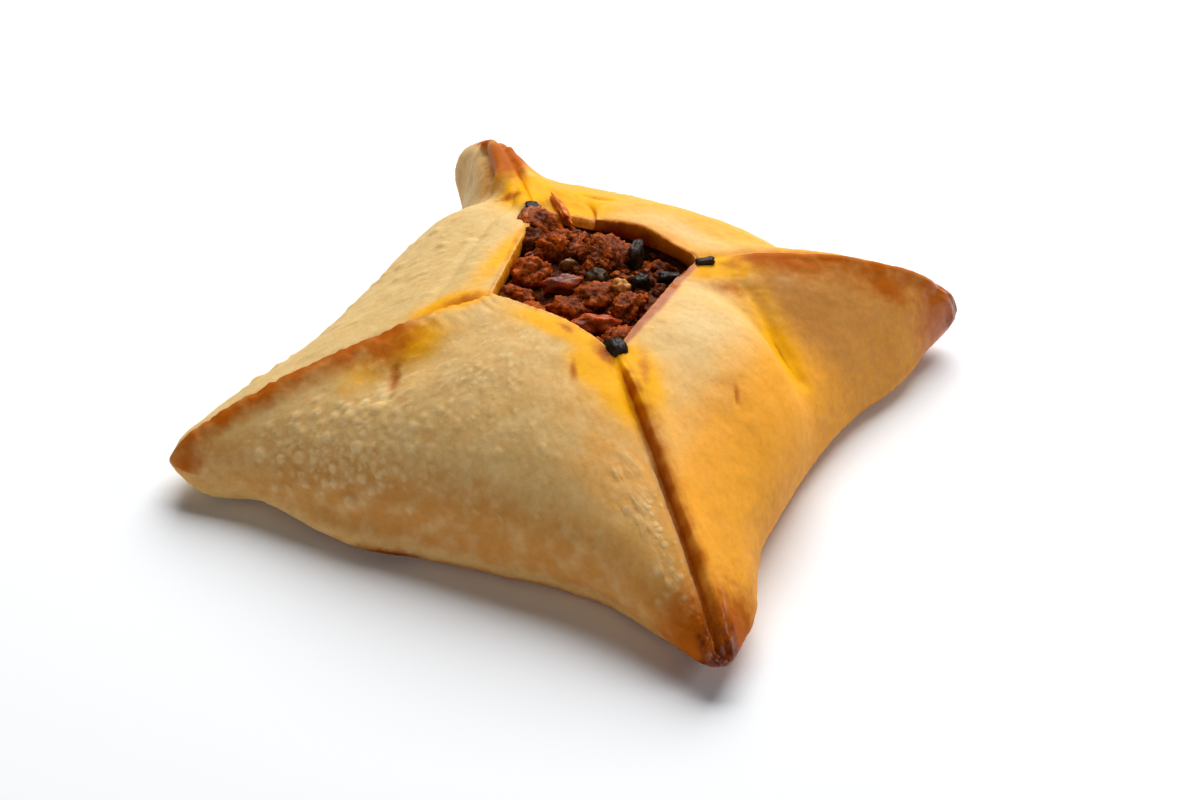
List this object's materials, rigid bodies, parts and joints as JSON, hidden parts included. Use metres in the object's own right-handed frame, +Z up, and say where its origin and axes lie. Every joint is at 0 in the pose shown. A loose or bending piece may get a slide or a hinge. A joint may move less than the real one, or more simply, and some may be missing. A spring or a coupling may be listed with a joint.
{
  "type": "meat fatayer",
  "caption": "Small square savoury pastry with pointed, pinched corners, its dough folded over a minced meat filling that shows in the open middle.",
  "frame": {"origin": "middle of the base, on the surface that the pastry rests on", "axes": "+Z up through the opening; the sides run along X and Y, and the pinched tips lie on the diagonals"},
  "size_m": [0.0988, 0.0972, 0.03],
  "materials": {
    "dough": "baked wheat dough, pale and floury on top, browned on its edges and tips",
    "filling": "browned minced meat with bits of tomato, onion and herbs, moist with oil"
  },
  "bodies": {
    "root": {"dough": "dough", "filling": "filling"}
  },
  "joints": []
}
